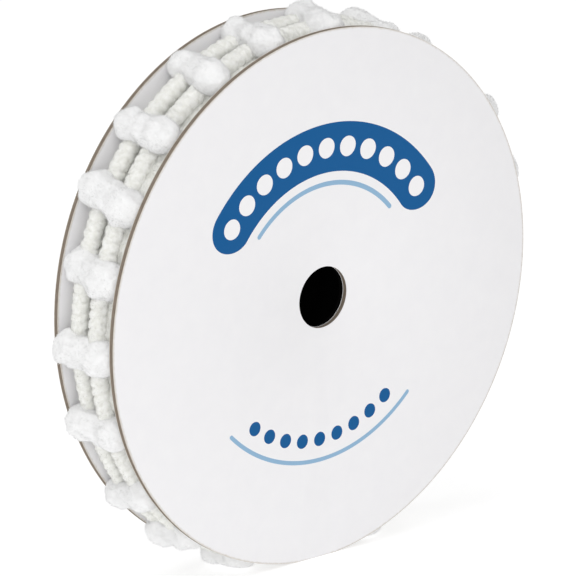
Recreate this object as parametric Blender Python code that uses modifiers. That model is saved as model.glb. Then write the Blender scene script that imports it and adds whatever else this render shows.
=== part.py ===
"""Pom pom trim wound on a card spool, standing on its rims.

Two round cards with a peg hole are glued to the ends of a card tube. The trim is wound
between them: a heading of two ribbed cords, with soft pompoms across it. Each pompom is
nipped between the cords, so it stands as two lobes, one towards each card. The cards lean
apart a little towards the top, so all that lies between them widens there.

Metres, +Z up. The spool's axis runs along Y and the front card faces -Y. The origin is on
the floor under the middle of the spool. In the functions below, "across" runs along the
axis towards the back card, "radius" is measured from the axis, and "angle" turns from +X
towards +Z, as seen on the front card.
"""

import math
import random

import bmesh
import bpy
from mathutils import Vector, noise

MM = 0.001

# The spool's cards
CARD_RADIUS = 50.0 * MM
CARD_THICKNESS = 1.05 * MM
PEG_HOLE_RADIUS = 5.75 * MM
CARD_GAP = 14.0 * MM  # between the cards' inner faces, at the height of the axis
LEAN_SLOPE = 0.033  # each card leans outwards by this much for each metre of height
FOOT_WIDTH = 10.0 * MM  # about the width of the flat that each rim rests on
CARD_STEPS = 72

# The tube between the cards
TUBE_INNER_RADIUS = 12.0 * MM
TUBE_OUTER_RADIUS = 14.0 * MM
TUBE_STEPS = 48

# Room left between one piece and the next
SEAT = 0.35 * MM
END_ROOM = 0.4 * MM

# The wound heading. Its outermost turn shows as two ribbed cords with a groove between.
CORDS = (
    {"across": 2.7 * MM, "radius": 1.55 * MM, "first_rib": 0},
    {"across": -2.0 * MM, "radius": 1.50 * MM, "first_rib": 1},
)
CORD_CREST = 50.2 * MM
CORD_ARC = (10, 60, 120, 170)  # degrees round a cord's upper half, from the back card
GROOVE_RADIUS = 46.8 * MM
GROOVE_ACROSS = 0.3 * MM
VALLEY_RADIUS = 46.2 * MM
VALLEY_REACH = 0.6 * MM
SHOULDER_RADIUS = 44.5 * MM
RIB_HEIGHT = 0.35 * MM
RIBS_PER_POMPOM = 8
HEADING_HALF_WIDTH = CARD_GAP / 2 - END_ROOM

# The pompoms. Angles are in degrees. A pompom's angle is that of its back lobe's middle,
# and its front lobe stands further on by its trail. "back" and "front" are the radii at
# which the lobes' middles stand, and "size" is the back lobe's own radius.
POMPOMS = (
    {"angle": 48.3, "trail": 1.5, "back": 50.5 * MM, "front": 49.2 * MM, "size": 3.2 * MM},
    {"angle": 66.8, "trail": 1.6, "back": 49.3 * MM, "front": 47.9 * MM, "size": 3.0 * MM},
    {"angle": 82.4, "trail": 3.7, "back": 49.0 * MM, "front": 49.0 * MM, "size": 3.2 * MM},
    {"angle": 100.6, "trail": 1.9, "back": 48.8 * MM, "front": 49.8 * MM, "size": 3.0 * MM},
    {"angle": 116.1, "trail": 2.0, "back": 49.3 * MM, "front": 50.2 * MM, "size": 3.2 * MM},
    {"angle": 134.0, "trail": 0.7, "back": 49.8 * MM, "front": 50.2 * MM, "size": 3.3 * MM},
    {"angle": 149.2, "trail": 2.0, "back": 50.1 * MM, "front": 49.2 * MM, "size": 3.6 * MM},
    {"angle": 165.4, "trail": 1.5, "back": 48.3 * MM, "front": 49.0 * MM, "size": 3.6 * MM},
    {"angle": 182.6, "trail": 1.0, "back": 50.0 * MM, "front": 49.0 * MM, "size": 3.4 * MM},
    {"angle": 198.9, "trail": 2.0, "back": 50.2 * MM, "front": 49.0 * MM, "size": 3.3 * MM},
    {"angle": 218.8, "trail": -0.8, "back": 49.9 * MM, "front": 49.3 * MM, "size": 3.1 * MM},
    {"angle": 233.9, "trail": 1.4, "back": 49.4 * MM, "front": 48.1 * MM, "size": 3.6 * MM},
    {"angle": 251.0, "trail": 1.0, "back": 49.4 * MM, "front": 48.5 * MM, "size": 3.6 * MM},
)
FAR_SIDE = {  # the pompoms that fill the rest of the turn, about as uneven as the others
    "count": 8,
    "seed": 5,
    "drift": 1.2,
    "trail": (0.6, 2.4),
    "back": (49.0 * MM, 50.2 * MM),
    "front": (48.6 * MM, 50.0 * MM),
    "size": (3.1 * MM, 3.5 * MM),
}
HALF_ACROSS = 6.5 * MM
FRONT_LOBE_SHARE = 0.95
WAIST_SHARE = 0.8
LUMP_HEIGHT = 0.4 * MM
LUMP_SIZE = 2.4 * MM
SKIN_COLUMNS = 10
SKIN_ROWS = 10
LOCKS = 10
LOCK_FLOOR = 1.2 * MM  # no lock grows lower than this above a pompom's middle
LOCK_RISE = (0.35, 0.95)  # from the lowest lock to the highest, as shares of the height
LOCK_SHARES = (0.6, 1.1)  # from the shortest lock to the longest, of the length below
LOCK_LENGTH = 0.8 * MM
LOCK_TIP = 0.4  # a lock's tip, as a share of its root
HOLLOW_ROOM = 0.7 * MM  # how far the heading is pressed clear of a pompom
FLOOR_CUSHION = 1.5 * MM  # yarn nearer the floor than this is pressed flatter and flatter

SHARP_ANGLE = math.radians(35)
AXIS_HEIGHT = math.sqrt(CARD_RADIUS**2 - (FOOT_WIDTH / 2) ** 2)
LEAN_ANGLE = math.atan(LEAN_SLOPE)


def clear_scene():
    for leftover in list(bpy.data.objects):
        bpy.data.objects.remove(leftover)


def make_collection(name):
    collection = bpy.data.collections.new(name)
    bpy.context.scene.collection.children.link(collection)
    return collection


def make_material(name, colour, roughness):
    material = bpy.data.materials.new(name)
    material.use_nodes = True
    shader = material.node_tree.nodes["Principled BSDF"]
    shader.inputs["Base Color"].default_value = (*colour, 1.0)
    shader.inputs["Roughness"].default_value = roughness
    shader.inputs["Metallic"].default_value = 0.0
    return material


def add_object(name, mesh, collection, material=None):
    piece = bpy.data.objects.new(name, mesh)
    collection.objects.link(piece)
    if material:
        piece.data.materials.append(material)
    return piece


def turned(name, section, steps, axis, collection, material):
    """A ring: a closed section of (radius, place along the axis) points, turned all round."""
    outline = bmesh.new()
    corners = []
    for radius, height in section:
        place = (radius, 0, height) if axis == "Z" else (radius, height, 0)
        corners.append(outline.verts.new(place))
    for start, end in zip(corners, corners[1:] + corners[:1]):
        outline.edges.new((start, end))
    mesh = bpy.data.meshes.new(name)
    outline.to_mesh(mesh)
    outline.free()
    ring = add_object(name, mesh, collection, material)
    screw = ring.modifiers.new("Turn", "SCREW")
    screw.axis = axis
    screw.steps = steps
    screw.render_steps = steps
    screw.use_merge_vertices = True
    screw.merge_threshold = 0.01 * MM
    return ring


def apply_modifiers(piece):
    graph = bpy.context.evaluated_depsgraph_get()
    mesh = bpy.data.meshes.new_from_object(piece.evaluated_get(graph))
    piece.modifiers.clear()
    piece.data = mesh


def shade(mesh):
    mesh.shade_smooth()
    mesh.set_sharp_from_angle(angle=SHARP_ANGLE)


def face_outwards(mesh):
    shape = bmesh.new()
    shape.from_mesh(mesh)
    bmesh.ops.recalc_face_normals(shape, faces=shape.faces)
    shape.to_mesh(mesh)
    shape.free()


def lean_apart(point):
    """Widens what lies between the cards with height, as the leaning cards leave room."""
    point.y *= 1 + point.z * 2 * LEAN_SLOPE / CARD_GAP


def settle(place):
    """Presses yarn that would reach through the floor so that it rests level on it."""
    if place.z < FLOOR_CUSHION:
        place.z = FLOOR_CUSHION * math.exp((place.z - FLOOR_CUSHION) / FLOOR_CUSHION)


def make_floor_cutter(collection):
    shape = bmesh.new()
    bmesh.ops.create_cube(shape, size=4 * CARD_RADIUS)
    mesh = bpy.data.meshes.new("floor_cutter")
    shape.to_mesh(mesh)
    shape.free()
    cutter = add_object("floor_cutter", mesh, collection)
    cutter.location.z = -2 * CARD_RADIUS
    cutter.hide_render = True
    cutter.display_type = "WIRE"
    return cutter


def make_card(name, side, cutter, collection, material):
    """side is -1 for the front card and 1 for the back card. Its own +Z faces outwards."""
    half = CARD_THICKNESS / 2
    section = (
        (CARD_RADIUS, half),
        (CARD_RADIUS, -half),
        (PEG_HOLE_RADIUS, -half),
        (PEG_HOLE_RADIUS, half),
    )
    card = turned(name, section, CARD_STEPS, "Z", collection, material)
    card.rotation_euler.x = -side * (math.pi / 2 + LEAN_ANGLE)
    middle = CARD_GAP / 2 + half / math.cos(LEAN_ANGLE)
    card.location = (0, side * middle, AXIS_HEIGHT)
    foot = card.modifiers.new("Foot", "BOOLEAN")
    foot.operation = "DIFFERENCE"
    foot.solver = "EXACT"
    foot.object = cutter
    return card


def make_tube(collection, material):
    half = CARD_GAP / 2 - END_ROOM
    section = (
        (TUBE_OUTER_RADIUS, half),
        (TUBE_OUTER_RADIUS, -half),
        (TUBE_INNER_RADIUS, -half),
        (TUBE_INNER_RADIUS, half),
    )
    tube = turned("core_tube", section, TUBE_STEPS, "Y", collection, material)
    apply_modifiers(tube)
    for vertex in tube.data.vertices:
        lean_apart(vertex.co)
    face_outwards(tube.data)
    shade(tube.data)
    tube.location.z = AXIS_HEIGHT
    return tube


def all_pompoms():
    """The table's rows, then the far side's, with their angles in radians."""
    rows = [dict(row) for row in POMPOMS]
    start = POMPOMS[-1]["angle"]
    pitch = (POMPOMS[0]["angle"] + 360 - start) / (FAR_SIDE["count"] + 1)
    rng = random.Random(FAR_SIDE["seed"])
    for number in range(1, FAR_SIDE["count"] + 1):
        drift = rng.uniform(-FAR_SIDE["drift"], FAR_SIDE["drift"])
        row = {"angle": start + number * pitch + drift}
        for column in ("trail", "back", "front", "size"):
            row[column] = rng.uniform(*FAR_SIDE[column])
        rows.append(row)
    for row in rows:
        row["angle"] = math.radians(row["angle"])
        row["trail"] = math.radians(row["trail"])
    return rows


def lobe_spread(pompom):
    """How far across each lobe's middle stands from the pompom's own middle."""
    return HALF_ACROSS - pompom["size"]


def centre_line(pompom, across):
    """The angle and the radius of the line through both lobes, at this place across."""
    spread = lobe_spread(pompom)
    share = max(0.0, min(1.0, (across + spread) / (2 * spread)))
    share = share * share * (3 - 2 * share)
    angle = pompom["angle"] + pompom["trail"] * (1 - share)
    return angle, pompom["front"] * (1 - share) + pompom["back"] * share


def lobe_radius(pompom, across):
    """The pompom's own radius about its centre line, at this place across."""
    size = pompom["size"] * (1.0 if across > 0 else FRONT_LOBE_SHARE)
    offset = abs(across) - lobe_spread(pompom)
    round_radius = math.sqrt(max(0.0, size**2 - offset**2))
    if offset < 0:
        return max(round_radius, WAIST_SHARE * size)
    return round_radius


def hollow_floor(pompoms, angle, across):
    """The radius down to which the pompoms press the heading in, or None beside them."""
    lowest = None
    for pompom in pompoms:
        middle_angle, middle_radius = centre_line(pompom, across)
        turn = (angle - middle_angle + math.pi) % (2 * math.pi) - math.pi
        along = turn * middle_radius
        beyond = max(0.0, abs(across) - lobe_spread(pompom))
        room = (pompom["size"] + HOLLOW_ROOM) ** 2 - along**2 - beyond**2
        if room > 0:
            lowest = middle_radius - math.sqrt(room)
    return lowest


def heading_section():
    """The wound heading's closed section, as (radius, across) from the back card forwards."""
    back, front = CORDS
    back_valley = back["across"] + back["radius"] + VALLEY_REACH
    front_valley = front["across"] - front["radius"] - VALLEY_REACH
    tube_room = TUBE_OUTER_RADIUS + SEAT
    section = [(SHOULDER_RADIUS, HEADING_HALF_WIDTH), (VALLEY_RADIUS, back_valley)]
    for cord in CORDS:
        if cord is front:
            section.append((GROOVE_RADIUS, GROOVE_ACROSS))
        for degrees in CORD_ARC:
            turn = math.radians(degrees)
            radius = CORD_CREST - cord["radius"] * (1 - math.sin(turn))
            section.append((radius, cord["across"] + cord["radius"] * math.cos(turn)))
    section += [(VALLEY_RADIUS, front_valley), (SHOULDER_RADIUS, -HEADING_HALF_WIDTH)]
    section += [(tube_room, -HEADING_HALF_WIDTH), (tube_room, HEADING_HALF_WIDTH)]
    return section


def make_wound_heading(pompoms, collection, material):
    """All the turns of the heading as one ring, ribbed on its cords and hollowed under the
    pompoms, which sit in it."""
    steps = 2 * RIBS_PER_POMPOM * len(pompoms)
    heading = turned("wound_heading", heading_section(), steps, "Y", collection, material)
    apply_modifiers(heading)
    for vertex in heading.data.vertices:
        place = vertex.co
        radius = math.hypot(place.x, place.z)
        angle = math.atan2(place.z, place.x)
        skin = radius
        if radius > GROOVE_RADIUS + SEAT:
            cord = CORDS[0] if place.y > GROOVE_ACROSS else CORDS[1]
            step = round(angle / (2 * math.pi) * steps)
            if (step + cord["first_rib"]) % 2:
                skin -= RIB_HEIGHT
        if radius > SHOULDER_RADIUS - SEAT:
            pressed = hollow_floor(pompoms, angle, place.y)
            if pressed is not None:
                skin = min(skin, pressed)
        place.x *= skin / radius
        place.z *= skin / radius
        lean_apart(place)
        place.z += AXIS_HEIGHT
        settle(place)
    face_outwards(heading.data)
    shade(heading.data)
    return heading


def pull_locks(shape, pompom, rng):
    """Pulls four-sided locks out of the pompom's outer side, spread evenly over it. Here a
    corner's x runs along the heading, its y across it and its z away from the axis."""
    quads = []
    for face in shape.faces:
        if len(face.verts) == 4 and face.calc_center_median().z > LOCK_FLOOR:
            quads.append(face)
    size = pompom["size"]
    golden_angle = math.pi * (3 - math.sqrt(5))
    low, high = LOCK_RISE
    chosen = []
    for number in range(LOCKS):
        rise = low + (high - low) * (number + 0.5) / LOCKS
        spread = math.sqrt(1 - rise * rise)
        turn = golden_angle * number
        aim = Vector((spread * math.cos(turn), spread * math.sin(turn), rise))
        aim = Vector((aim.x * size, aim.y * HALF_ACROSS, aim.z * size))
        free = [f for f in quads if f not in chosen]
        chosen.append(min(free, key=lambda f: (f.calc_center_median() - aim).length))
    pulled = bmesh.ops.extrude_discrete_faces(shape, faces=chosen)["faces"]
    for face in pulled:
        middle = face.calc_center_median()
        lobe = Vector((0, math.copysign(lobe_spread(pompom), middle.y), 0))
        outwards = (middle - lobe).normalized()
        length = LOCK_LENGTH * rng.uniform(*LOCK_SHARES)
        for corner in face.verts:
            corner.co = middle + (corner.co - middle) * LOCK_TIP + outwards * length


def make_pompom(number, pompom, collection, material):
    rng = random.Random(number)
    shape = bmesh.new()
    bmesh.ops.create_uvsphere(shape, u_segments=SKIN_COLUMNS, v_segments=SKIN_ROWS, radius=1)
    for vertex in shape.verts:
        direction = vertex.co.copy()
        across = HALF_ACROSS * direction.z
        around = Vector((direction.x, 0, direction.y)).normalized()
        lumps = noise.noise(direction * HALF_ACROSS / LUMP_SIZE + Vector((7.0 * number, 0, 0)))
        radius = lobe_radius(pompom, across)
        if around.z > 0 and radius > 0:
            radius += lumps * LUMP_HEIGHT
        vertex.co = around * radius + Vector((0, across, 0))
    lowest = AXIS_HEIGHT + math.sin(pompom["angle"]) * (pompom["back"] + pompom["size"])
    if lowest > 0:
        pull_locks(shape, pompom, rng)
    for vertex in shape.verts:
        along, across, deep = vertex.co
        across = max(-HALF_ACROSS, min(HALF_ACROSS, across))
        angle, radius = centre_line(pompom, across)
        outwards = Vector((math.cos(angle), 0, math.sin(angle)))
        onwards = Vector((-outwards.z, 0, outwards.x))
        place = outwards * (radius + deep) + onwards * along
        place.y = across
        lean_apart(place)
        place.z += AXIS_HEIGHT
        settle(place)
        vertex.co = place
    name = f"pompom_{number + 1:02d}"
    mesh = bpy.data.meshes.new(name)
    shape.to_mesh(mesh)
    shape.free()
    shade(mesh)
    return add_object(name, mesh, collection, material)


def main():
    clear_scene()
    parts = make_collection("pom_pom_trim")
    cutters = make_collection("cutters")
    card_paper = make_material("white_paper_on_greyboard", (0.82, 0.82, 0.83), 0.55)
    tube_board = make_material("grey_card_tube", (0.20, 0.18, 0.16), 0.9)
    cord_yarn = make_material("white_chenille_cord", (0.88, 0.88, 0.86), 0.9)
    pile_yarn = make_material("white_acrylic_pile", (0.90, 0.90, 0.90), 0.95)
    cutter = make_floor_cutter(cutters)
    make_card("front_card", -1, cutter, parts, card_paper)
    make_card("back_card", 1, cutter, parts, card_paper)
    make_tube(parts, tube_board)
    pompoms = all_pompoms()
    make_wound_heading(pompoms, parts, cord_yarn)
    for number, pompom in enumerate(pompoms):
        make_pompom(number, pompom, parts, pile_yarn)


main()
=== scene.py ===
"""Pom pom trim wound on a card spool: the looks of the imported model.

Metres, +Z up. The spool's axis runs along Y at the height AXIS_HEIGHT, and the front card
faces -Y. "Across" runs along the axis towards the back card, "radius" is measured from the
axis, and "angle" turns from +X towards +Z, as seen on the front card.
"""

import math
import random

import bmesh
import bpy
from mathutils import Matrix, Vector, noise


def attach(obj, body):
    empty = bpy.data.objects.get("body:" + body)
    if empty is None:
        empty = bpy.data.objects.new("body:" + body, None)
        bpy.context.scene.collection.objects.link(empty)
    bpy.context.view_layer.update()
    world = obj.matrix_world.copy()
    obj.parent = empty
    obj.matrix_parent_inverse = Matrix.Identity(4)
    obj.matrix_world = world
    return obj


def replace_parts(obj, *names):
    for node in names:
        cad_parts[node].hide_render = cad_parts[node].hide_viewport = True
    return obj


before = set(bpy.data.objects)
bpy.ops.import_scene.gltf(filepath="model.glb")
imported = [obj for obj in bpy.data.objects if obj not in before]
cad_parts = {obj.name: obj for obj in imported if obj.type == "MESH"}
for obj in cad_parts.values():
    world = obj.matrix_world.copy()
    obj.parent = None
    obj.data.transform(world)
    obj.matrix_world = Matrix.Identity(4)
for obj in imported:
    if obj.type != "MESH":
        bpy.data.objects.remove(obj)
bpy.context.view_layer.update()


# Cards
# Two die-cut rounds of greyboard, 100 mm across and about 1 mm thick, each faced on both
# sides with white coated paper. They are glued to the ends of the core and lean apart a
# little towards the top. Each stands on a short flat at the foot of its rim.

MM = 0.001
CARD_RADIUS = 50.0 * MM
CARD_THICKNESS = 1.05 * MM
PAPER_THICKNESS = 0.1 * MM
PEG_HOLE_RADIUS = 5.75 * MM
CARD_GAP = 14.0 * MM
LEAN_SLOPE = 0.033
FOOT_WIDTH = 10.0 * MM
CARD_STEPS = 192
AXIS_HEIGHT = math.sqrt(CARD_RADIUS**2 - (FOOT_WIDTH / 2) ** 2)

PAPER_WHITE = "#F1F0F1"
PAPER_SHADE = "#ECEBED"
PAPER_WORN = "#CFC9C0"
INK_BLUE = "#005792"
INK_PALE = "#8FB3D0"
BOARD_LIGHT = "#93877A"
BOARD_DARK = "#6A5F53"
PAPER_ROUGHNESS = (0.42, 0.56)
SCUFF = (49.75, 50.3)  # where the scuffed rim starts and is full, in mm
SCUFF_RAGGED = 0.5  # how unevenly it starts, in mm
BOARD_SET_BACK = 0.03 * MM  # how far the board's edge lies behind the papers' edges
PAPER_EDGE = 0.04 * MM  # the bevel of the papers' edges
TUCK = 0.02 * MM  # how far a paper sinks into the board

# The print: an arc with a row of dots above the peg hole, and a row of dots under it. Lengths
# are in mm.
BAND = {"radius": 28.0, "half_width": 4.6, "half_turn": math.radians(53)}
BAND_DOTS = {
    "arc_radius": BAND["radius"],
    "step": math.radians(10.6),
    "radius": 1.9,
    "half_turn": math.radians(58),
}
HAIRLINE = {"radius": 21.3, "half_width": 0.45, "half_turn": math.radians(48)}
LOWER_DOTS = {
    "arc_radius": 27.0,
    "step": math.radians(9),
    "radius": 1.35,
    "half_turn": math.radians(41),
}
LOWER_LINE = {"radius": 31.0, "half_width": 0.4, "half_turn": math.radians(44)}


def linear(hex_colour):
    """An sRGB hex colour as the linear colour that a shader takes."""
    channels = []
    for start in (1, 3, 5):
        value = int(hex_colour[start:start + 2], 16) / 255
        dark = value <= 0.04045
        channels.append(value / 12.92 if dark else ((value + 0.055) / 1.055) ** 2.4)
    return (*channels, 1.0)


def add_node(tree, kind, settings=None, values=None, links=None):
    """Adds a node, sets its properties and sockets, and links other nodes' outputs to it."""
    node = tree.nodes.new(kind)
    for name, value in (settings or {}).items():
        setattr(node, name, value)
    for name, value in (values or {}).items():
        node.inputs[name].default_value = value
    for name, output in (links or {}).items():
        tree.links.new(output, node.inputs[name])
    return node


def start_finish(name):
    """A new material, with its tree and its shader."""
    material = bpy.data.materials.new(name)
    material.use_nodes = True
    tree = material.node_tree
    return material, tree, tree.nodes["Principled BSDF"]


def calculate(tree, operation, *terms):
    """The result of a math node on these terms, each a number or another node's output."""
    node = add_node(tree, "ShaderNodeMath", {"operation": operation})
    for number, term in enumerate(terms):
        if isinstance(term, bpy.types.NodeSocket):
            tree.links.new(term, node.inputs[number])
        else:
            node.inputs[number].default_value = term
    return node.outputs[0]


def length_of(tree, first, second):
    """The length of a step whose two parts, at right angles, are these."""
    step = add_node(tree, "ShaderNodeCombineXYZ", links={"X": first, "Y": second})
    length = add_node(
        tree, "ShaderNodeVectorMath", {"operation": "LENGTH"}, links={0: step.outputs[0]}
    )
    return length.outputs["Value"]


def add_noise(tree, place, scale, detail, roughness=0.5):
    """A noise's value at this place, from 0 to 1."""
    node = add_node(
        tree,
        "ShaderNodeTexNoise",
        values={"Scale": scale, "Detail": detail, "Roughness": roughness},
        links={"Vector": place},
    )
    return node.outputs["Fac"]


def change_range(tree, value, taken, given=(0.0, 1.0), curve="LINEAR"):
    """Maps a value from the range taken to the range given, and holds it inside."""
    node = add_node(
        tree,
        "ShaderNodeMapRange",
        {"interpolation_type": curve},
        {"From Min": taken[0], "From Max": taken[1], "To Min": given[0], "To Max": given[1]},
        {"Value": value},
    )
    return node.outputs[0]


def mix_colours(tree, share, first, second):
    """Goes from the first colour to the second as share goes from 0 to 1. Each colour is an
    sRGB hex colour or another node's output."""
    node = add_node(tree, "ShaderNodeMix", {"data_type": "RGBA"}, links={0: share})
    for socket, colour in ((6, first), (7, second)):
        if isinstance(colour, str):
            node.inputs[socket].default_value = linear(colour)
        else:
            tree.links.new(colour, node.inputs[socket])
    return node.outputs[2]


def add_bump(tree, shader, height, strength, depth):
    """Gives a finish a relief of this depth, where height goes from 0 to 1."""
    bump = add_node(
        tree,
        "ShaderNodeBump",
        values={"Strength": strength, "Distance": depth},
        links={"Height": height},
    )
    tree.links.new(bump.outputs[0], shader.inputs["Normal"])


def arc_mask(tree, rho, off, arc):
    """1 inside a round-ended arc: rho is the radius in mm, off the turn from its middle."""
    turn = calculate(tree, "ABSOLUTE", off)
    past = calculate(tree, "SUBTRACT", turn, arc["half_turn"])
    beyond = calculate(tree, "MAXIMUM", past, 0.0)
    along = calculate(tree, "MULTIPLY", beyond, arc["radius"])
    out = calculate(tree, "SUBTRACT", rho, arc["radius"])
    return calculate(tree, "LESS_THAN", length_of(tree, along, out), arc["half_width"])


def dots_mask(tree, rho, off, dots):
    """1 inside a row of dots at even steps along an arc."""
    half_step = dots["step"] / 2
    turn = calculate(tree, "ABSOLUTE", off)
    within = calculate(tree, "LESS_THAN", turn, dots["half_turn"])
    local = calculate(tree, "WRAP", off, half_step, -half_step)
    along = calculate(tree, "MULTIPLY", local, dots["arc_radius"])
    out = calculate(tree, "SUBTRACT", rho, dots["arc_radius"])
    inside = calculate(tree, "LESS_THAN", length_of(tree, along, out), dots["radius"])
    return calculate(tree, "MULTIPLY", within, inside)


def coated_paper(name, printed):
    """White clay-coated paper, calendered: even and cool white, with a soft low sheen. Faint
    clouds of fibre show in it, and it is scuffed to a warm grey along the rim."""
    material, tree, shader = start_finish(name)
    coords = add_node(tree, "ShaderNodeTexCoord")
    mapping = add_node(
        tree,
        "ShaderNodeMapping",
        values={"Scale": (1 / MM, 1 / MM, 1 / MM), "Location": (0, 0, -AXIS_HEIGHT / MM)},
        links={"Vector": coords.outputs["Object"]},
    )
    place = mapping.outputs[0]
    parts = add_node(tree, "ShaderNodeSeparateXYZ", links={"Vector": place})
    rho = length_of(tree, parts.outputs["X"], parts.outputs["Z"])
    clouds = add_noise(tree, place, 0.3, 4.0, 0.6)
    fleck = add_noise(tree, place, 1.4, 3.0, 0.7)
    paper = mix_colours(tree, clouds, PAPER_WHITE, PAPER_SHADE)
    ragged = calculate(tree, "MULTIPLY_ADD", fleck, SCUFF_RAGGED, rho)
    worn = change_range(tree, ragged, SCUFF, curve="SMOOTHSTEP")
    colour = mix_colours(tree, worn, paper, PAPER_WORN)
    if printed:
        angle = calculate(tree, "ARCTAN2", parts.outputs["Z"], parts.outputs["X"])
        from_top = calculate(tree, "SUBTRACT", angle, math.pi / 2)
        upper = calculate(tree, "WRAP", from_top, math.pi, -math.pi)
        lower = calculate(tree, "ADD", angle, math.pi / 2)
        layers = (
            (arc_mask(tree, rho, upper, BAND), INK_BLUE),
            (dots_mask(tree, rho, upper, BAND_DOTS), PAPER_WHITE),
            (arc_mask(tree, rho, upper, HAIRLINE), INK_PALE),
            (dots_mask(tree, rho, lower, LOWER_DOTS), INK_BLUE),
            (arc_mask(tree, rho, lower, LOWER_LINE), INK_PALE),
        )
        for mask, ink in layers:
            colour = mix_colours(tree, mask, colour, ink)
    tree.links.new(colour, shader.inputs["Base Color"])
    gloss = change_range(tree, clouds, (0.0, 1.0), PAPER_ROUGHNESS)
    tree.links.new(gloss, shader.inputs["Roughness"])
    shader.inputs["Specular IOR Level"].default_value = 0.15
    tooth = add_noise(tree, place, 3.5, 2.0)
    add_bump(tree, shader, tooth, 0.12, 0.02 * MM)
    return material


def cut_greyboard():
    """Greyboard, cut edge: recycled pulp in thin layers, taupe, dull and a little hairy, with
    fine darker lines that run round the edge."""
    material, tree, shader = start_finish("greyboard_cut_edge")
    coords = add_node(tree, "ShaderNodeTexCoord")
    layered = add_node(
        tree,
        "ShaderNodeMapping",
        values={"Scale": (700, 9000, 700)},
        links={"Vector": coords.outputs["Object"]},
    )
    pulp = add_noise(tree, layered.outputs[0], 1.0, 4.0, 0.65)
    tint = change_range(tree, pulp, (0.3, 0.7))
    colour = mix_colours(tree, tint, BOARD_DARK, BOARD_LIGHT)
    tree.links.new(colour, shader.inputs["Base Color"])
    shader.inputs["Roughness"].default_value = 0.92
    shader.inputs["Specular IOR Level"].default_value = 0.2
    add_bump(tree, shader, pulp, 0.4, 0.05 * MM)
    return material


def spin_round(section, steps):
    """A closed ring, made by spinning a section of (radius, across) points round the axis."""
    ring = bmesh.new()
    corners = [ring.verts.new((radius, across, 0)) for radius, across in section]
    edges = [ring.edges.new(pair) for pair in zip(corners, corners[1:] + corners[:1])]
    bmesh.ops.spin(
        ring,
        geom=corners + edges,
        cent=(0, 0, 0),
        axis=(0, 1, 0),
        dvec=(0, 0, 0),
        angle=2 * math.pi,
        steps=steps,
        use_merge=True,
    )
    bmesh.ops.remove_doubles(ring, verts=ring.verts, dist=0.001 * MM)
    bmesh.ops.recalc_face_normals(ring, faces=ring.faces)
    return ring


def put_piece(name, shape, material, sharp=35):
    """Makes a shape an object of the scene that rides with the spool."""
    mesh = bpy.data.meshes.new(name)
    shape.to_mesh(mesh)
    shape.free()
    mesh.materials.append(material)
    mesh.shade_smooth()
    mesh.set_sharp_from_angle(angle=math.radians(sharp))
    piece = bpy.data.objects.new(name, mesh)
    bpy.context.scene.collection.objects.link(piece)
    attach(piece, "root")
    return piece


def bevel_rims(ring, radii, width):
    """Softens the edges that run round at these radii."""
    rims = []
    for edge in ring.edges:
        ends = [math.hypot(v.co.x, v.co.z) for v in edge.verts]
        level = abs(edge.verts[0].co.y - edge.verts[1].co.y) < 0.001 * MM
        if level and any(max(abs(end - radius) for end in ends) < 0.01 * MM for radius in radii):
            rims.append(edge)
    bmesh.ops.bevel(
        ring,
        geom=rims,
        offset=width,
        offset_type="OFFSET",
        affect="EDGES",
        segments=2,
        profile=0.5,
        material=-1,
    )


def stand_up(ring, side):
    """Leans a card's layer outwards, puts it at its end of the core and cuts its foot flat.
    side is -1 for the front card and 1 for the back card. Its own +Y faces outwards."""
    if side < 0:
        bmesh.ops.rotate(
            ring, verts=ring.verts, cent=(0, 0, 0), matrix=Matrix.Rotation(math.pi, 3, "Z")
        )
    lean = math.atan(LEAN_SLOPE)
    bmesh.ops.rotate(
        ring, verts=ring.verts, cent=(0, 0, 0), matrix=Matrix.Rotation(-side * lean, 3, "X")
    )
    middle = CARD_GAP / 2 + CARD_THICKNESS / 2 / math.cos(lean)
    bmesh.ops.translate(ring, verts=ring.verts, vec=(0, side * middle, AXIS_HEIGHT))
    cut = bmesh.ops.bisect_plane(
        ring,
        geom=ring.verts[:] + ring.edges[:] + ring.faces[:],
        plane_co=(0, 0, 0),
        plane_no=(0, 0, -1),
        clear_outer=True,
    )
    rim = [part for part in cut["geom_cut"] if isinstance(part, bmesh.types.BMEdge)]
    bmesh.ops.edgeloop_fill(ring, edges=rim)
    bmesh.ops.recalc_face_normals(ring, faces=ring.faces)


greyboard = cut_greyboard()
plain_paper = coated_paper("white_coated_paper", printed=False)
printed_paper = coated_paper("white_coated_paper_printed", printed=True)
half_board = CARD_THICKNESS / 2 - PAPER_THICKNESS
half_card = CARD_THICKNESS / 2

for side, card in ((-1, "front_card"), (1, "back_card")):
    facing = printed_paper if side < 0 else plain_paper
    layers = (
        ("board", -half_board, half_board, BOARD_SET_BACK, greyboard, "tube_board"),
        ("outer_paper", half_board - TUCK, half_card, 0, facing, "card_paper"),
        ("inner_paper", -half_card, -half_board + TUCK, 0, plain_paper, "card_paper"),
    )
    pieces = []
    for layer, low, high, back_off, finish, slot in layers:
        outer = CARD_RADIUS - back_off
        inner = PEG_HOLE_RADIUS + back_off
        ring = spin_round(((outer, high), (outer, low), (inner, low), (inner, high)), CARD_STEPS)
        if layer != "board":
            bevel_rims(ring, (CARD_RADIUS, PEG_HOLE_RADIUS), PAPER_EDGE)
        stand_up(ring, side)
        pieces.append(put_piece(f"{card}_{layer}", ring, finish))
    for piece in pieces:
        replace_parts(piece, card)


# Core
# A short tube of wound card between the cards, coloured near black as painted shade, for the
# shade inside the peg hole. Its ends are turned in to the peg hole and glued to the cards, so
# that only its dark inside shows through the hole.

TUBE_INNER_RADIUS = 12.0 * MM
TUBE_OUTER_RADIUS = 14.0 * MM
TUBE_END = 6.6 * MM
TURNED_IN = 0.6 * MM
LIP_ROOM = 0.1 * MM  # how far the turned-in ends stand back from the cards' peg holes
CORE_STEPS = 96


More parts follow.
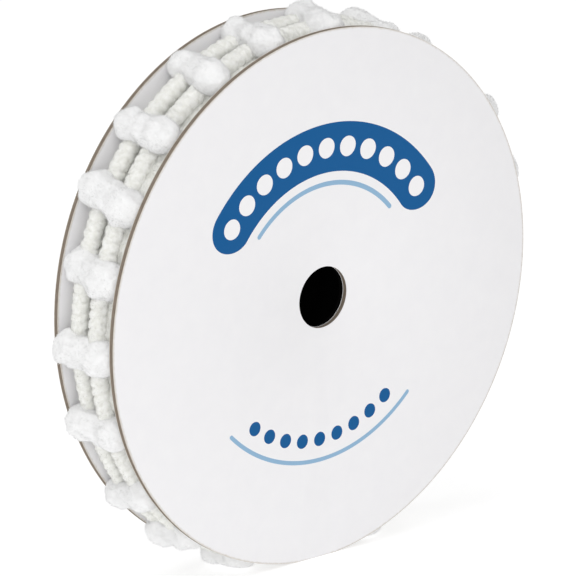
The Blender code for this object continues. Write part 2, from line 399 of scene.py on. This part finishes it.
def lean_apart(point):
    """Widens what lies between the cards with height, as the leaning cards leave room."""
    point.y *= 1 + point.z * 2 * LEAN_SLOPE / CARD_GAP


def painted_shade_board():
    """Near-black card, painted shade for the dark inside of the peg hole: matt, with no sheen,
    so that the hole reads as black.
    """
    material, tree, shader = start_finish("black_dyed_card")
    coords = add_node(tree, "ShaderNodeTexCoord")
    pulp = add_noise(tree, coords.outputs["Object"], 900.0, 3.0)
    # Painted shade: these near-black colours stand for the shade inside the core and the peg hole.
    colour = mix_colours(tree, pulp, "#080808", "#0F0F0F")
    tree.links.new(colour, shader.inputs["Base Color"])
    shader.inputs["Roughness"].default_value = 1.0
    shader.inputs["Specular IOR Level"].default_value = 0.0
    return material


lip = PEG_HOLE_RADIUS + LIP_ROOM
core = spin_round(
    (
        (TUBE_OUTER_RADIUS, TUBE_END),
        (TUBE_OUTER_RADIUS, -TUBE_END),
        (lip, -TUBE_END),
        (lip, -TUBE_END + TURNED_IN),
        (TUBE_INNER_RADIUS, -TUBE_END + TURNED_IN),
        (TUBE_INNER_RADIUS, TUBE_END - TURNED_IN),
        (lip, TUBE_END - TURNED_IN),
        (lip, TUBE_END),
    ),
    CORE_STEPS,
)
for vertex in core.verts:
    lean_apart(vertex.co)
bmesh.ops.translate(core, verts=core.verts, vec=(0, 0, AXIS_HEIGHT))
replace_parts(put_piece("core", core, painted_shade_board()), "core_tube")


# Heading
# The band that carries the pompoms: two thick chenille cords side by side, of white yarn
# whose short pile stands all round in knobs. It is wound round the core in many turns. The
# outermost turn shows as two cords, and the turns under it as a packed bed.

CORDS = (
    {"name": "back_cord", "across": 2.65 * MM, "radius": 1.65 * MM, "seed": 3.0},
    {"name": "front_cord", "across": -2.1 * MM, "radius": 1.65 * MM, "seed": 11.0},
)
CORD_CREST = 50.2 * MM
CORD_SINK = 0.1 * MM  # how far a cord's body lies under its crest, for its pile
CORD_SIDES = 24
KNOBS = 165  # along one turn, about 1.85 mm apart
RINGS_PER_KNOB = 8
KNOB_DEPTH = 0.26  # how much slimmer a cord is between two knobs, as a share of its radius
KNOB_PINCH = 0.9  # how steeply a knob falls off to its ends, up to 1
KNOB_TWIST = 0.35  # how far a knob slants round the cord, in knobs
KNOB_DRIFT = 0.35  # how far knobs bunch up along a turn, in knobs
KNOB_JITTER = 0.25  # how far one knob stands off its own place, in knobs
RIB_DEPTH = 0.035
RIBS_PER_KNOB = 3
RIB_SLANT = 0.4
GRAIN_DEPTH = 0.09
GRAIN_SIZE = 0.7 * MM
WANDER_ACROSS = 0.3 * MM
WANDER_OUT = 0.2 * MM
WANDER_PACE = 2.2
WANDER_REACH = 1.6
FLOOR_CUSHION = 1.5 * MM
CARD_CLEARANCE = 0.02 * MM
HALFWAY_SWELL = 1.5  # how much thicker a bent fibre's middle is than a plain taper
BED_RADIUS = 47.3 * MM
BED_SHOULDER = 44.9 * MM
BED_INNER_RADIUS = TUBE_OUTER_RADIUS + 0.35 * MM
BED_FRONT_RISE = 2.0 * MM  # the bed is packed higher along the front card
BED_HALF_WIDTH = 6.8 * MM
BED_CRESTS = 5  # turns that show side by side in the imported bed
BED_RIPPLE = 0.25
BED_POINTS = 32
BED_STEPS = 378
BED_LUMPS = ((3.2 * MM, 0.9 * MM), (0.9 * MM, 0.3 * MM))  # their size and their height
YARN_LIT = "#F5F5F2"
YARN_SHADED = "#EAEAE4"
CORD_NAP = {"per_mm2": 7.0, "length": 0.34 * MM, "width": 0.08 * MM, "lean": 0.8, "seed": 1}
BED_NAP = {"per_mm2": 4.0, "length": 0.5 * MM, "width": 0.12 * MM, "lean": 0.8, "seed": 2}


def white_pile(name, lit, shaded, tuft):
    """White acrylic pile: matt, and bright even in its hollows, because light passes between
    its fibres. Some tufts are a little whiter than others. Their size is given in mm."""
    material, tree, shader = start_finish(name)
    coords = add_node(tree, "ShaderNodeTexCoord")
    tufts = add_noise(tree, coords.outputs["Object"], 1 / (tuft * MM), 3.0, 0.6)
    spread = change_range(tree, tufts, (0.35, 0.65))
    colour = mix_colours(tree, spread, shaded, lit)
    tree.links.new(colour, shader.inputs["Base Color"])
    shader.inputs["Roughness"].default_value = 0.9
    shader.inputs["Specular IOR Level"].default_value = 0.15
    shader.inputs["Sheen Weight"].default_value = 0.25
    shader.inputs["Sheen Roughness"].default_value = 0.5
    return material


def settle(place):
    """Presses yarn that would reach through the floor so that it rests level on it."""
    if place.z < FLOOR_CUSHION:
        place.z = FLOOR_CUSHION * math.exp((place.z - FLOOR_CUSHION) / FLOOR_CUSHION)


def squeeze(place):
    """Holds yarn between the two cards."""
    room = CARD_GAP / 2 + (place.z - AXIS_HEIGHT) * LEAN_SLOPE - CARD_CLEARANCE
    place.y = max(-room, min(room, place.y))


def make_fibre(name, length, width, bend, material):
    """One three-sided tapered fibre that stands up from the origin. With a bend, its tip is
    this far over to one side, and it is a little thicker at its middle."""
    shape = bmesh.new()
    bmesh.ops.create_cone(
        shape,
        cap_ends=True,
        cap_tris=False,
        segments=3,
        radius1=width / 2,
        radius2=0,
        depth=length,
        matrix=Matrix.Translation((0, 0, length / 2)),
    )
    if bend:
        upright = []
        for edge in shape.edges:
            low, high = edge.verts
            if abs(low.co.z - high.co.z) > length / 2:
                upright.append(edge)
        bmesh.ops.subdivide_edges(shape, edges=upright, cuts=1)
        bmesh.ops.triangulate(shape, faces=shape.faces)
        for vertex in shape.verts:
            vertex.co.x += bend * (vertex.co.z / length) ** 2
            halfway = length * 0.4 < vertex.co.z < length * 0.6
            if halfway:
                middle = Vector((bend * 0.25, 0, vertex.co.z))
                vertex.co = middle + (vertex.co - middle) * HALFWAY_SWELL
    bmesh.ops.recalc_face_normals(shape, faces=shape.faces)
    mesh = bpy.data.meshes.new(name)
    shape.to_mesh(mesh)
    shape.free()
    mesh.materials.append(material)
    mesh.shade_smooth()
    return bpy.data.objects.new(name, mesh)


def sow_tree(layers):
    """The node tree that sows fibres over a mesh, a layer at a time, and makes them part of
    it. A layer is (fibre object, row of its sizes)."""
    tree = bpy.data.node_groups.new("sow_pile", "GeometryNodeTree")
    tree.interface.new_socket("Geometry", in_out="INPUT", socket_type="NodeSocketGeometry")
    tree.interface.new_socket("Geometry", in_out="OUTPUT", socket_type="NodeSocketGeometry")
    ground = add_node(tree, "NodeGroupInput")
    joined = add_node(tree, "GeometryNodeJoinGeometry")
    tree.links.new(ground.outputs[0], joined.inputs[0])
    share = add_node(
        tree, "GeometryNodeInputNamedAttribute", {"data_type": "FLOAT"}, {"Name": "pile"}
    )
    for fibre, row in layers:
        density = add_node(
            tree,
            "ShaderNodeMath",
            {"operation": "MULTIPLY"},
            {1: row["per_mm2"] / MM**2},
            {0: share.outputs["Attribute"]},
        )
        roots = add_node(
            tree,
            "GeometryNodeDistributePointsOnFaces",
            {"distribute_method": "RANDOM"},
            {"Seed": row["seed"]},
            {"Mesh": ground.outputs[0], "Density": density.outputs[0]},
        )
        lean = row["lean"]
        tilt = add_node(
            tree,
            "FunctionNodeRandomValue",
            {"data_type": "FLOAT_VECTOR"},
            {0: (-lean, -lean, 0.0), 1: (lean, lean, 2 * math.pi), "Seed": row["seed"] + 50},
        )
        tilted = add_node(tree, "FunctionNodeEulerToRotation", links={0: tilt.outputs[0]})
        turned = add_node(
            tree,
            "FunctionNodeRotateRotation",
            {"rotation_space": "LOCAL"},
            links={0: roots.outputs["Rotation"], 1: tilted.outputs[0]},
        )
        growth = add_node(
            tree,
            "FunctionNodeRandomValue",
            {"data_type": "FLOAT"},
            {2: 0.65, 3: 1.25, "Seed": row["seed"] + 90},
        )
        strand = add_node(tree, "GeometryNodeObjectInfo", values={0: fibre})
        planted = add_node(
            tree,
            "GeometryNodeInstanceOnPoints",
            links={
                "Points": roots.outputs["Points"],
                "Instance": strand.outputs["Geometry"],
                "Rotation": turned.outputs[0],
                "Scale": growth.outputs[1],
            },
        )
        grown = add_node(
            tree, "GeometryNodeRealizeInstances", links={"Geometry": planted.outputs[0]}
        )
        tree.links.new(grown.outputs[0], joined.inputs[0])
    add_node(tree, "NodeGroupOutput", links={0: joined.outputs[0]})
    return tree


def grow_pile(piece, tree):
    """Sows the tree's fibres over a piece, applies them, and presses all of it off the floor."""
    sower = piece.modifiers.new("Pile", "NODES")
    sower.node_group = tree
    graph = bpy.context.evaluated_depsgraph_get()
    graph.update()
    grown = bpy.data.meshes.new_from_object(piece.evaluated_get(graph))
    piece.modifiers.clear()
    bare = piece.data
    piece.data = grown
    grown.name = piece.name
    bpy.data.meshes.remove(bare)
    for vertex in grown.vertices:
        squeeze(vertex.co)
        settle(vertex.co)
    if "pile" in grown.attributes:
        grown.attributes.remove(grown.attributes["pile"])


def cover_with_pile(piece, nap, material):
    """Grows one layer of short straight pile over a piece."""
    fibre = make_fibre(f"{piece.name}_fibre", nap["length"], nap["width"], 0, material)
    grow_pile(piece, sow_tree([(fibre, nap)]))
    bpy.data.objects.remove(fibre)


def set_pile(piece, share):
    """Keeps, for each corner of a piece's mesh, how thickly pile grows there, from 0 to 1."""
    layer = piece.data.attributes.new("pile", "FLOAT", "POINT")
    for vertex in piece.data.vertices:
        layer.data[vertex.index].value = share(vertex.co)


def outer_side(place):
    """1 on the side of the winding that shows, and 0 under it."""
    radius = math.hypot(place.x, place.z - AXIS_HEIGHT)
    return 1.0 if radius > BED_RADIUS - 0.2 * MM else 0.0


def bed_top(place):
    """1 on the bed's outer face, and 0 on its sides along the cards."""
    height = place.z - AXIS_HEIGHT
    across = abs(place.y) / (1 + height * 2 * LEAN_SLOPE / CARD_GAP)
    deep = math.hypot(place.x, height) < BED_SHOULDER - MM
    return 0.0 if deep or across > BED_HALF_WIDTH - 0.1 * MM else 1.0


def wander(angle, seed):
    """A slow drift along one turn, from -1 to 1, that meets itself at its end."""
    place = Vector((WANDER_PACE * math.cos(angle), WANDER_PACE * math.sin(angle), seed))
    return noise.noise(place) * WANDER_REACH


heading_yarn = white_pile("white_chenille_yarn", YARN_LIT, YARN_SHADED, 0.9)

for cord in CORDS:
    middle = CORD_CREST - cord["radius"]
    tube = bmesh.new()
    bmesh.ops.create_circle(
        tube,
        segments=CORD_SIDES,
        radius=cord["radius"],
        matrix=Matrix.Translation((middle, cord["across"], 0)),
    )
    bmesh.ops.spin(
        tube,
        geom=tube.verts[:] + tube.edges[:],
        cent=(0, 0, 0),
        axis=(0, 1, 0),
        dvec=(0, 0, 0),
        angle=2 * math.pi,
        steps=KNOBS * RINGS_PER_KNOB,
        use_merge=True,
    )
    for vertex in tube.verts:
        place = vertex.co
        angle = math.atan2(place.z, place.x)
        out = math.hypot(place.x, place.z) - middle
        across = place.y - cord["across"]
        around = math.atan2(out, across)
        count = angle / (2 * math.pi) * KNOBS
        jitter = KNOB_DRIFT * wander(angle, cord["seed"] + 5)
        jitter += KNOB_JITTER * noise.noise(Vector((count * 0.9, cord["seed"], 0)))
        beat = count + jitter + KNOB_TWIST * math.sin(around + cord["seed"])
        inward = 2 * (beat - math.floor(beat)) - 1
        bulge = math.sqrt(max(0.0, 1 - KNOB_PINCH * inward * inward))
        rib_turn = count * RIBS_PER_KNOB + RIB_SLANT * math.sin(around)
        rib = RIB_DEPTH * math.cos(2 * math.pi * rib_turn)
        grain = noise.noise(place / GRAIN_SIZE) * GRAIN_DEPTH
        share = 1 - KNOB_DEPTH * (1 - bulge) + rib + grain
        drift = cord["across"] + WANDER_ACROSS * wander(angle, cord["seed"])
        lift = middle + WANDER_OUT * wander(angle, cord["seed"] + 20) - CORD_SINK
        radius = lift + out * share
        vertex.co = (radius * math.cos(angle), drift + across * share, radius * math.sin(angle))
        lean_apart(vertex.co)
        vertex.co.z += AXIS_HEIGHT
    bmesh.ops.recalc_face_normals(tube, faces=tube.faces)
    piece = put_piece(cord["name"], tube, heading_yarn, sharp=180)
    set_pile(piece, outer_side)
    cover_with_pile(piece, CORD_NAP, heading_yarn)
    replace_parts(piece, "wound_heading")

bed_section = [
    (BED_SHOULDER, -BED_HALF_WIDTH),
    (BED_INNER_RADIUS, -BED_HALF_WIDTH),
    (BED_INNER_RADIUS, BED_HALF_WIDTH),
    (BED_SHOULDER, BED_HALF_WIDTH),
]
for number in range(BED_POINTS + 1):
    share = 1 - 2 * number / BED_POINTS
    ripple = abs(math.cos(math.pi * BED_CRESTS * share / 2))
    rise = (BED_RADIUS - BED_SHOULDER) * (1 - abs(share) ** 4)
    radius = BED_SHOULDER + rise * (1 - BED_RIPPLE + BED_RIPPLE * ripple)
    radius += BED_FRONT_RISE * max(0.0, -share) ** 1.5
    bed_section.append((radius, share * (BED_HALF_WIDTH - 0.2 * MM)))
bed = spin_round(bed_section, BED_STEPS)
for vertex in bed.verts:
    place = vertex.co
    radius = math.hypot(place.x, place.z)
    if radius > BED_INNER_RADIUS + MM:
        lumps = sum(noise.noise(place / size) * height for size, height in BED_LUMPS)
        stretch = 1 + lumps / radius
        place.x *= stretch
        place.z *= stretch
    lean_apart(place)
    place.z += AXIS_HEIGHT
wound_bed = put_piece("wound_turns", bed, heading_yarn, sharp=180)
set_pile(wound_bed, bed_top)
cover_with_pile(wound_bed, BED_NAP, heading_yarn)
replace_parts(wound_bed, "wound_heading")


# Pompoms
# Soft tufts of white acrylic pile, cut to length and nipped in the middle between the two
# cords, so that each fluffs out into two lobes. They are squeezed between the cards. Those
# under the spool are pressed level where they rest on the table.

POMPOMS = (
    {"angle": 48.3, "trail": 1.5, "back": 50.9 * MM, "front": 47.4 * MM, "size": 3.2 * MM},
    {"angle": 66.8, "trail": 1.6, "back": 49.3 * MM, "front": 47.9 * MM, "size": 3.0 * MM},
    {"angle": 82.4, "trail": 3.7, "back": 49.0 * MM, "front": 49.0 * MM, "size": 3.2 * MM},
    {"angle": 100.6, "trail": 1.9, "back": 48.8 * MM, "front": 49.8 * MM, "size": 3.0 * MM},
    {"angle": 116.1, "trail": 2.0, "back": 49.3 * MM, "front": 50.2 * MM, "size": 3.2 * MM},
    {"angle": 134.0, "trail": 0.7, "back": 49.8 * MM, "front": 50.2 * MM, "size": 3.3 * MM},
    {"angle": 149.2, "trail": 2.0, "back": 50.1 * MM, "front": 49.2 * MM, "size": 3.6 * MM},
    {"angle": 165.4, "trail": 1.5, "back": 48.3 * MM, "front": 49.0 * MM, "size": 3.6 * MM},
    {"angle": 182.6, "trail": 1.0, "back": 50.0 * MM, "front": 49.0 * MM, "size": 3.4 * MM},
    {"angle": 198.9, "trail": 2.0, "back": 50.2 * MM, "front": 49.0 * MM, "size": 3.3 * MM},
    {"angle": 218.8, "trail": -0.8, "back": 49.9 * MM, "front": 49.3 * MM, "size": 3.1 * MM},
    {"angle": 233.9, "trail": 1.4, "back": 49.4 * MM, "front": 48.1 * MM, "size": 3.6 * MM},
    {"angle": 251.0, "trail": 1.0, "back": 49.4 * MM, "front": 48.5 * MM, "size": 3.6 * MM},
)
FAR_SIDE = {
    "count": 8,
    "seed": 5,
    "drift": 1.2,
    "trail": (0.6, 2.4),
    "back": (49.0 * MM, 50.2 * MM),
    "front": (48.6 * MM, 50.0 * MM),
    "size": (3.1 * MM, 3.5 * MM),
}
HALF_ACROSS = 6.5 * MM
FRONT_LOBE_SHARE = 1.05  # how much larger the front lobe is than the back lobe
WAIST_SHARE = 0.9  # how slim a pompom is between its lobes, as a share of its size
LUMP_HEIGHT = 0.65 * MM
LUMP_SIZE = 2.6 * MM
TUFT_HEIGHT = 0.12 * MM
TUFT_SIZE = 1.2 * MM
PILE_DEPTH = 0.1 * MM  # how far a pompom's body lies under the tips of its pile
SQUEEZED_ACROSS = 6.8 * MM  # how far a pompom's body reaches towards each card
BODY_COLUMNS = 36
BODY_ROWS = 36
PILE_LIT = "#F5F5F5"
PILE_SHADED = "#F0F0F0"
NAP = {"per_mm2": 12.0, "length": 0.28 * MM, "width": 0.07 * MM, "lean": 0.9, "seed": 5}
FLYAWAY = {"per_mm2": 1.5, "length": 0.55 * MM, "width": 0.05 * MM, "lean": 0.9, "seed": 9}
FLYAWAY_BEND = 0.3 * MM


def all_pompoms():
    """The table's rows, then the far side's, with their angles in radians."""
    rows = [dict(row) for row in POMPOMS]
    start = POMPOMS[-1]["angle"]
    pitch = (POMPOMS[0]["angle"] + 360 - start) / (FAR_SIDE["count"] + 1)
    rng = random.Random(FAR_SIDE["seed"])
    for number in range(1, FAR_SIDE["count"] + 1):
        drift = rng.uniform(-FAR_SIDE["drift"], FAR_SIDE["drift"])
        row = {"angle": start + number * pitch + drift}
        for column in ("trail", "back", "front", "size"):
            row[column] = rng.uniform(*FAR_SIDE[column])
        rows.append(row)
    for row in rows:
        row["angle"] = math.radians(row["angle"])
        row["trail"] = math.radians(row["trail"])
    return rows


def lobe_spread(pompom):
    """How far across each lobe's middle stands from the pompom's own middle."""
    return HALF_ACROSS - pompom["size"]


def centre_line(pompom, across):
    """The angle and the radius of the line through both lobes, at this place across."""
    spread = lobe_spread(pompom)
    share = max(0.0, min(1.0, (across + spread) / (2 * spread)))
    share = share * share * (3 - 2 * share)
    angle = pompom["angle"] + pompom["trail"] * (1 - share)
    return angle, pompom["front"] * (1 - share) + pompom["back"] * share


def lobe_radius(pompom, across):
    """The pompom's own radius about its centre line, at this place across."""
    size = pompom["size"] * (1.0 if across > 0 else FRONT_LOBE_SHARE)
    offset = abs(across) - lobe_spread(pompom)
    round_radius = math.sqrt(max(0.0, size**2 - offset**2))
    if offset < 0:
        return max(round_radius, WAIST_SHARE * size)
    return round_radius


def fluff(number, pompom, material):
    """A pompom's body: a ball drawn out into its two lobes, with tufts all over and lumps on
    the side that shows."""
    ball = bmesh.new()
    bmesh.ops.create_uvsphere(ball, u_segments=BODY_COLUMNS, v_segments=BODY_ROWS, radius=1)
    stretch = SQUEEZED_ACROSS / HALF_ACROSS
    for vertex in ball.verts:
        direction = vertex.co.copy()
        across = HALF_ACROSS * direction.z
        around = Vector((direction.x, 0, direction.y))
        around = around.normalized() if around.length > 0 else around
        radius = lobe_radius(pompom, across)
        lumps = noise.noise(direction * HALF_ACROSS / LUMP_SIZE + Vector((7.0 * number, 0, 0)))
        skin = around * radius + Vector((0, across, 0))
        tufts = noise.noise(skin / TUFT_SIZE + Vector((0, 7.0 * number, 0)))
        radius = max(0.0, radius - PILE_DEPTH)
        if radius > 0:
            lump_height = LUMP_HEIGHT if around.z > 0 else 0
            radius += lumps * lump_height + tufts * TUFT_HEIGHT
        vertex.co = around * radius + Vector((0, across * stretch, 0))
    for vertex in ball.verts:
        along, across, deep = vertex.co
        angle, radius = centre_line(pompom, across)
        outwards = Vector((math.cos(angle), 0, math.sin(angle)))
        onwards = Vector((-outwards.z, 0, outwards.x))
        place = outwards * (radius + deep) + onwards * along
        place.y = across
        lean_apart(place)
        place.z += AXIS_HEIGHT
        vertex.co = place
    name = f"soft_pompom_{number + 1:02d}"
    piece = put_piece(name, ball, material, sharp=180)
    set_pile(piece, lambda place: 1.0)
    return piece


pompom_pile = white_pile("white_acrylic_pile", PILE_LIT, PILE_SHADED, 1.2)
nap = make_fibre("nap_fibre", NAP["length"], NAP["width"], 0, pompom_pile)
flyaway = make_fibre(
    "flyaway_fibre", FLYAWAY["length"], FLYAWAY["width"], FLYAWAY_BEND, pompom_pile
)
pompom_tree = sow_tree([(nap, NAP), (flyaway, FLYAWAY)])
for number, pompom in enumerate(all_pompoms()):
    piece = fluff(number, pompom, pompom_pile)
    grow_pile(piece, pompom_tree)
    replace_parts(piece, f"pompom_{number + 1:02d}")
bpy.data.objects.remove(nap)
bpy.data.objects.remove(flyaway)


# Table, lights and camera
# A plain white table and soft white studio light: a white room, a wide light high up on the
# left, and a wider one in front. The camera stands where the photograph was taken from.

FLOOR_SIZE = 8.0
TABLE_COLOUR = "#BCBCBC"
TABLE_GLOW = 0.64  # brings the table up to the white of the photograph's background
SENSOR_WIDTH = 36.0
CAMERA = {
    "azimuth": -41.97,
    "elevation": 15.94,
    "distance": 1.3365,
    "lens": 460.3,
    "shift": -5.28 / 576,
}
LIGHTS = (
    {
        "name": "key_light",
        "azimuth": -80.0,
        "elevation": 66.0,
        "distance": 1.2,
        "size": 1.3,
        "watts": 4.6,
    },
    {
        "name": "fill_light",
        "azimuth": -42.0,
        "elevation": 18.0,
        "distance": 4.0,
        "size": 2.6,
        "watts": 33.0,
    },
)
ROOM_STRENGTH = 0.59


def aim(azimuth, elevation):
    """The direction from the spool towards something at this azimuth and elevation."""
    turn = math.radians(azimuth)
    rise = math.radians(elevation)
    return Vector((math.sin(turn) * math.cos(rise), -math.cos(turn) * math.cos(rise), math.sin(rise)))


table = bmesh.new()
bmesh.ops.create_grid(table, x_segments=1, y_segments=1, size=FLOOR_SIZE / 2)
table_mesh = bpy.data.meshes.new("table")
table.to_mesh(table_mesh)
table.free()
table_top = bpy.data.objects.new("table", table_mesh)
bpy.context.scene.collection.objects.link(table_top)
table_finish, _, table_shader = start_finish("matt_white_table")
table_shader.inputs["Base Color"].default_value = linear(TABLE_COLOUR)
table_shader.inputs["Roughness"].default_value = 1.0
table_shader.inputs["Specular IOR Level"].default_value = 0.0
table_shader.inputs["Emission Color"].default_value = (1.0, 1.0, 1.0, 1.0)
table_shader.inputs["Emission Strength"].default_value = TABLE_GLOW
table_mesh.materials.append(table_finish)

world = bpy.data.worlds.new("white_room")
world.use_nodes = True
room = world.node_tree.nodes["Background"]
room.inputs["Color"].default_value = (1.0, 1.0, 1.0, 1.0)
room.inputs["Strength"].default_value = ROOM_STRENGTH
bpy.context.scene.world = world

spool_middle = Vector((0, 0, AXIS_HEIGHT))
for row in LIGHTS:
    lamp_data = bpy.data.lights.new(row["name"], "AREA")
    lamp_data.shape = "DISK"
    lamp_data.size = row["size"]
    lamp_data.energy = row["watts"]
    lamp = bpy.data.objects.new(row["name"], lamp_data)
    bpy.context.scene.collection.objects.link(lamp)
    towards_lamp = aim(row["azimuth"], row["elevation"])
    lamp.location = spool_middle + towards_lamp * row["distance"]
    lamp.rotation_euler = towards_lamp.to_track_quat("Z", "Y").to_euler()

camera_data = bpy.data.cameras.new("camera")
camera_data.lens = CAMERA["lens"]
camera_data.sensor_width = SENSOR_WIDTH
camera_data.shift_x = CAMERA["shift"]
camera = bpy.data.objects.new("camera", camera_data)
bpy.context.scene.collection.objects.link(camera)
towards_camera = aim(CAMERA["azimuth"], CAMERA["elevation"])
camera.location = spool_middle + towards_camera * CAMERA["distance"]
camera.rotation_euler = (-towards_camera).to_track_quat("-Z", "Y").to_euler()
bpy.context.scene.camera = camera

bpy.context.scene.view_settings.view_transform = "Standard"
